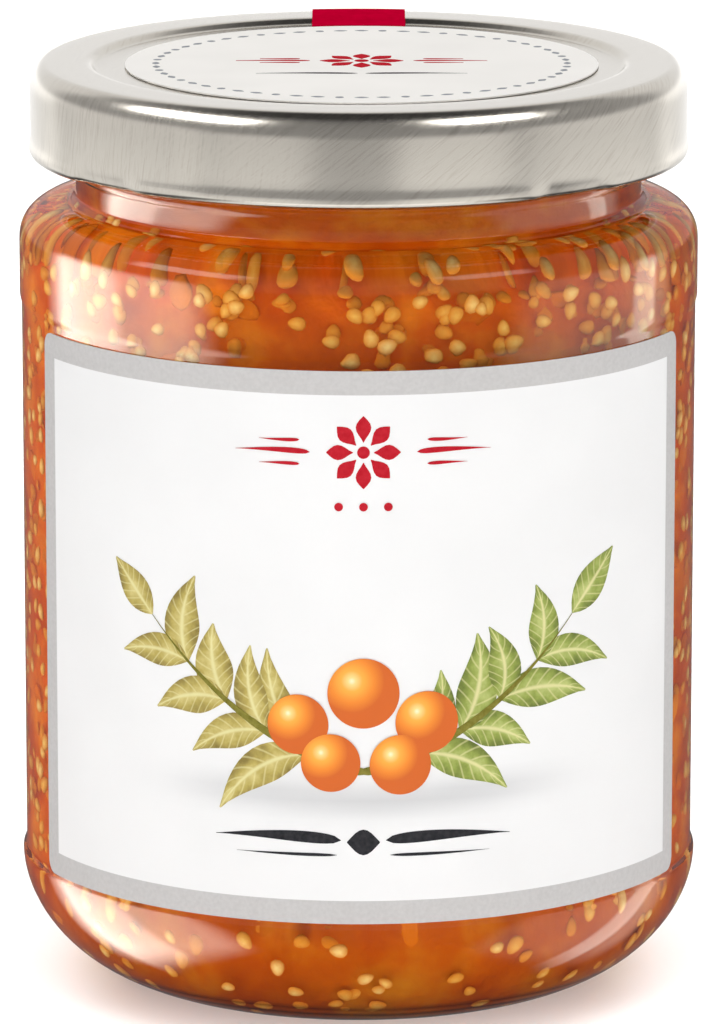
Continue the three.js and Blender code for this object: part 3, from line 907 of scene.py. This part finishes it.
def labelOrnaments(outsideR):
    star = starPatches((0, redMark["z"]), redMark["radius"], redMark["petals"])
    dots = [discGrid(redMark["dotR"], 7, (x, redMark["dotsZ"])) for x in redMark["dotsX"]]
    solids = layered(star + strokePatches(mirrored(redStrokes)) + dots, outsideR)
    thinSolids("labelRedOrnament", solids, onJar, "jar", [redInk])
    lozenge = [bladeGrid(*darkLozenge, steps=(9, 5), power=1.0)]
    solids = layered(lozenge + strokePatches(mirrored(darkStrokes)), outsideR)
    thinSolids("labelDarkRule", solids, onJar, "jar", [charcoalInk])


redInk = printedInk("redInk", "#b3202c", "#bf2a35")
charcoalInk = printedInk("charcoalInk", "#2b2b2e", "#3a3a3d")
labelOutside = labelSheet()
labelPicture(labelOutside)
labelOrnaments(labelOutside)
print("front label made")


# lid
lidForm = {
    "r": 32.9,
    "topZ": 93.5,
    "rimZ": 84.1,
    "wall": 0.3,
    "shoulder": (1.6, 2.6),
    "panelR": 26.3,
    "panelDrop": 0.6,
    "curlInside": 31.4,
    "curlOutside": 33.05,
    "curlHeight": 1.6,
    "curlRadii": (0.8, 0.7),  # of its foot, on the outer and the inner side
    "lugs": 4,
    "firstLug": 40.0,  # degrees from +X
    "lugWidth": 15.0,
    "lugDepth": 1.2,
    "crimpDepth": 0.55,
    "segments": 288,
    "grains": (82.0, 38.0),  # degrees from the skirt's edge, on the left and on the right
    "grainTurns": (-30.0, 5.0),  # mm round the skirt from its front: where one grain gives way to the other
    "scratchWidths": (0.12, 0.3),  # mm
    "skirtPaintedLight": (-35.5, -42.0),  # mm from the middle, along the metal: painted light, the metal's colour brightens down the skirt to its foot
}


def brushedTinplate():
    # lacquered tinplate: warm grey metal with the fine straight scratches of the rolled sheet
    material, tree = newMaterial("brushedTinplate")
    sheet = addNode(tree, "Attribute", {"attribute_name": "sheetPlace"}).outputs["Vector"]

    def brushed(grain, across):
        # lines along the grain, in degrees from the skirt's edge, as wide as across in mm
        turn = addNode(tree, "Mapping", {"Rotation": (0, 0, math.radians(-grain))}, {"Vector": sheet})
        stretch = addNode(tree, "Mapping", {"Scale": (0.05 / across, 1 / across, 1)}, {"Vector": turn})
        settings = {"Scale": 1.0, "Detail": 2.0, "Roughness": 0.6}
        return addNode(tree, "TexNoise", settings, {"Vector": stretch}).outputs["Fac"]

    side = addNode(tree, "SeparateXYZ", links={"Vector": sheet}).outputs["X"]
    blend = addNode(tree, "MapRange", span(*lidForm["grainTurns"], 0, 1), {"Value": side})
    lines = []
    for across in lidForm["scratchWidths"]:
        steep, slanted = (brushed(grain, across) for grain in lidForm["grains"])
        lines.append(addNode(tree, "Mix", {}, {0: blend, 2: steep, 3: slanted}))
    fine, broad = lines
    both = addNode(tree, "Math", {"operation": "ADD"}, {0: fine, 1: broad})
    colour = addNode(tree, "ValToRGB", {"stops": [(0.8, "#cac3b8"), (1.2, "#d5cfc4")]}, {"Fac": both})
    down = addNode(tree, "SeparateXYZ", links={"Vector": sheet}).outputs["Y"]
    # painted light: the metal is darker above and brightens down the skirt to full at its foot
    shade = addNode(tree, "MapRange", span(*lidForm["skirtPaintedLight"], 0.82, 1.0), {"Value": down})
    colour = addNode(tree, "VectorMath", {"operation": "SCALE"}, {0: colour, "Scale": shade})
    roughness = addNode(tree, "MapRange", span(0.75, 1.25, 0.17, 0.25), {"Value": both})
    bump = addNode(tree, "Bump", {"Strength": 0.4, "Distance": 0.005 * mm}, {"Height": both})
    links = {"Base Color": colour, "Roughness": roughness, "Normal": bump}
    return finishMaterial(material, addNode(tree, "BsdfPrincipled", {"Metallic": 1.0}, links))


def lidSkin(gap):
    # the lid's outside from the edge of its panel over the shoulder to the top of its skirt, pushed out by a
    # gap
    f = lidForm
    across, down = f["shoulder"]
    top = f["topZ"] + gap
    panelR = f["panelR"] - gap / 2
    points = [(panelR - 0.3, top - f["panelDrop"])]
    step = ((0, 0.04), (0.25, 0.3), (0.5, 0.75), (0.8, 0.97))
    points += [(panelR + out, top - f["panelDrop"] * (1 - up)) for out, up in step]
    points += [(panelR + 1.2, top), (panelR + 2.5, top), (f["r"] - across - 1, top)]
    points += quarter((f["r"] - across, top), (f["r"] + gap, f["topZ"] - down), 2, 14)
    return points


def arc(middle, radius, fromAngle, toAngle, steps):
    angles = np.radians(np.linspace(fromAngle, toAngle, steps + 1)[1:])
    return [(middle[0] + radius * math.cos(a), middle[1] + radius * math.sin(a)) for a in angles]


def lidProfile():
    # the outside, the rolled curl and the inside of the sheet
    f = lidForm
    wall = f["wall"]
    curlTop = f["rimZ"] + f["curlHeight"]
    panel = f["topZ"] - f["panelDrop"]
    outside = [(r, panel) for r in (0.0, 8, 16, 22, 25)] + lidSkin(0)
    outside += [(f["r"], z) for z in (90, 89, 88, 87, curlTop + 0.5)]
    bead = f["curlOutside"] - f["r"]
    curl = [(f["r"] + bead * 0.3, curlTop - 0.05), (f["r"] + bead * 0.8, curlTop - 0.35)]
    curl.append((f["curlOutside"], f["rimZ"] + f["curlHeight"] / 2))
    outer, inner = f["curlRadii"]
    curl += arc((f["curlOutside"] - outer, f["rimZ"] + outer), outer, 0, -90, 6)
    curl += arc((f["curlInside"] + inner, f["rimZ"] + inner), inner, -90, -180, 5)
    curl += [(f["curlInside"] + 0.15, curlTop - 0.3), (f["curlInside"] + 0.6, curlTop)]
    inside = [(f["r"] - wall, curlTop + 0.1), (f["r"] - wall, 88)]
    inside += lidSkin(-wall)[::-1] + [(25, panel - wall), (0.0, panel - wall)]
    return outside, curl, inside


def unrolled(points, line, row):
    # each point's place on the flat sheet: on top as it lies, and on the skirt the way round from the front
    # and the length down from the middle
    angle = np.arctan2(points[:, 0], -points[:, 1])
    length = np.concatenate([[0], np.cumsum(np.hypot(*np.diff(line, axis=0).T))])
    onTop = line[:, 0] < lidForm["r"] - lidForm["shoulder"][0] - 0.5
    top = onTop[row] & (row < len(line) // 2)
    across = np.where(top, points[:, 0], angle * lidForm["r"])
    down = np.where(top, points[:, 1], -length[row])
    return np.stack([across, down, 0 * angle], 1)


def pressLugs(points, row, firstCurl, lastCurl):
    # the curl is pressed in at four places
    f = lidForm
    angle = np.degrees(np.arctan2(points[:, 1], points[:, 0]))
    turn = (angle - f["firstLug"] + 45) % (360 / f["lugs"]) - 45
    near = np.clip((f["lugWidth"] / 2 + 2 - np.abs(turn)) / 4, 0, 1)
    near = near * near * (3 - 2 * near)
    radial = np.hypot(points[:, 0], points[:, 1])
    innerSide = (row >= firstCurl) & (row < lastCurl) & (radial < f["curlInside"] + 0.75)
    outerSide = (row >= firstCurl - 1) & (row < lastCurl)
    low = np.clip((f["rimZ"] + f["curlHeight"] + 0.4 - points[:, 2]) / 1.2, 0, 1)
    move = np.where(innerSide, f["lugDepth"], np.where(outerSide, f["crimpDepth"] * low, 0)) * near
    points[:, :2] *= ((radial - move) / np.maximum(radial, 1e-6))[:, None]


def lidShell():
    outside, curl, inside = lidProfile()
    profile = outside + curl + inside
    segments = lidForm["segments"]
    points, faces, rows = turned(profile, segments)
    row = np.concatenate([[i] if r < 1e-6 else [i] * segments for i, (r, z) in enumerate(profile)])
    sheet = unrolled(points, np.array(profile), row)
    pressLugs(points, row, len(outside), len(outside) + len(curl))
    faces = [face[::-1] for face in faces]
    lid = meshObject("lidShell", points, faces, "lid", [brushedTinplate()])
    pointNumbers(lid, "sheetPlace", sheet)
    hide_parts("lid_shell")
    return lid


lid = lidShell()
print("lid made")


# papers on the lid
lidPaperForm = {"r": 23.7, "shift": 0.3, "paper": 0.15, "lift": 0.05}
lidPrint = {
    "marks": 60,
    "ringR": 20.6,
    "dotR": 0.42,
    "dashWidth": 0.75,
    "halfDash": 0.034,  # radians
    "starR": 4.2,
    "down": 59.1,  # mm from the front label's print to the same print here
    "rule": [((0.4, -6.2), (5.5, -5.8), (10.5, -6.2), 0.7)],
}
stripForm = {"width": 9.6, "startR": 24.2, "endZ": 86.4, "lift": 0.05, "paper": 0.15}


def lidLabel():
    p = lidPaperForm
    low = lidForm["topZ"] - lidForm["panelDrop"] + p["lift"]
    high = low + p["paper"]
    rings = [0, 4, 8, 12, 16, 19, 21.5, 23.2, p["r"]]
    profile = [(r, high) for r in rings[::-1]]
    points, faces, rows = turned([(0.0, low), (p["r"], low)] + profile, 160)
    points[:, 0] += p["shift"]
    paper = labelPaper("lidLabelPaper", ("#f2efea", "#f7f4ef"))
    label = meshObject("lidLabel", points, faces, "lid", [paper])
    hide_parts("lid_label")
    return high


def onLidPaper(patches):
    return [(grid + [lidPaperForm["shift"], 0], local) for grid, local in patches]


def lidOrnaments(high):
    # a ring of dots and dashes round a flat rosette with its strokes
    p = lidPrint
    patches = []
    for i in range(p["marks"]):
        turns = [i * 2 * math.pi / p["marks"] + step for step in (-p["halfDash"], 0, p["halfDash"])]
        start, middle, end = [(p["ringR"] * math.cos(turn), p["ringR"] * math.sin(turn)) for turn in turns]
        if i % 3 == 2:
            patches.append(discGrid(p["dotR"], 5, middle))
        else:
            patches.append(bladeGrid(start, middle, end, p["dashWidth"], steps=(6, 3), power=1.0))
    ring = [(grid, local, high - inkRise, high + inkRise) for grid, local in onLidPaper(patches)]
    thinSolids("lidGreyRing", ring, onLid, "lid", [printedInk("greyInk", "#8d9195", "#a2a5a8")])
    middle = redMark["z"] - p["down"]
    mark = starPatches((0, middle), p["starR"], redMark["petals"])
    mark += [(grid - [0, p["down"]], local) for grid, local in strokePatches(mirrored(redStrokes))]
    thinSolids("lidRedOrnament", layered(onLidPaper(mark), high), onLid, "lid", [redInk])
    rule = strokePatches(mirrored(p["rule"]))
    thinSolids("lidDarkRule", layered(onLidPaper(rule), high), onLid, "lid", [charcoalInk])


def crimsonPaper():
    # printed paper strip: flat crimson with a satin skin and slightly paler creases
    material, tree = newMaterial("crimsonPaper")
    colour = mottled(tree, 1.2, [(0.3, "#b4002a"), (0.7, "#c20030")], detail=3)
    links = {"Base Color": colour, "Normal": uneven(tree, 0.3, 0.02, 0.3)}
    shader = addNode(tree, "BsdfPrincipled", {"Roughness": 0.5, "Specular IOR Level": 0.0}, links)
    return finishMaterial(material, shader)


def sealStrip():
    # follows the lid's skin at the back, from the label's edge over the shoulder and down the skirt
    f = stripForm
    under = [(f["startR"], lidForm["topZ"] - lidForm["panelDrop"] + f["lift"])] + lidSkin(f["lift"])
    under += [(lidForm["r"] + f["lift"], z) for z in (90, 88.5, 87.4, f["endZ"])]
    line = np.array(under)
    step = np.gradient(line, axis=0)
    out = np.stack([-step[:, 1], step[:, 0]], 1)
    out /= np.linalg.norm(out, axis=1)[:, None]
    columns = np.linspace(-f["width"] / 2, f["width"] / 2, 13)

    def onLidBack(x, row, level):
        r, z = line[int(row)] + out[int(row)] * level
        return (x, math.sqrt(r * r - x * x), z)

    grid = np.stack(np.meshgrid(columns, np.arange(len(line)), indexing="ij"), -1)
    sheet = [(grid, grid, 0, f["paper"])]
    strip = thinSolids("sealStrip", sheet, onLidBack, "lid", [crimsonPaper()])
    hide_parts("seal_strip")


def sealingCompound():
    # moulded sealing ring: matt cream, faintly pitted
    material, tree = newMaterial("sealingCompound")
    colour = mottled(tree, 2.0, [(0.3, "#e2ddcf"), (0.7, "#ebe7db")])
    links = {"Base Color": colour, "Normal": uneven(tree, 0.2, 0.02, 0.4)}
    return finishMaterial(material, addNode(tree, "BsdfPrincipled", {"Roughness": 0.6}, links))


lidOrnaments(lidLabel())
sealStrip()
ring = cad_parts["seal_ring"]
ring.data.materials.clear()
ring.data.materials.append(sealingCompound())
print("lid papers and sealing ring made")


placeSoftBoxes({"floor": [floorBoard], "glass": [glass], "jam": jam, "lid": [lid]})
print("soft boxes placed")
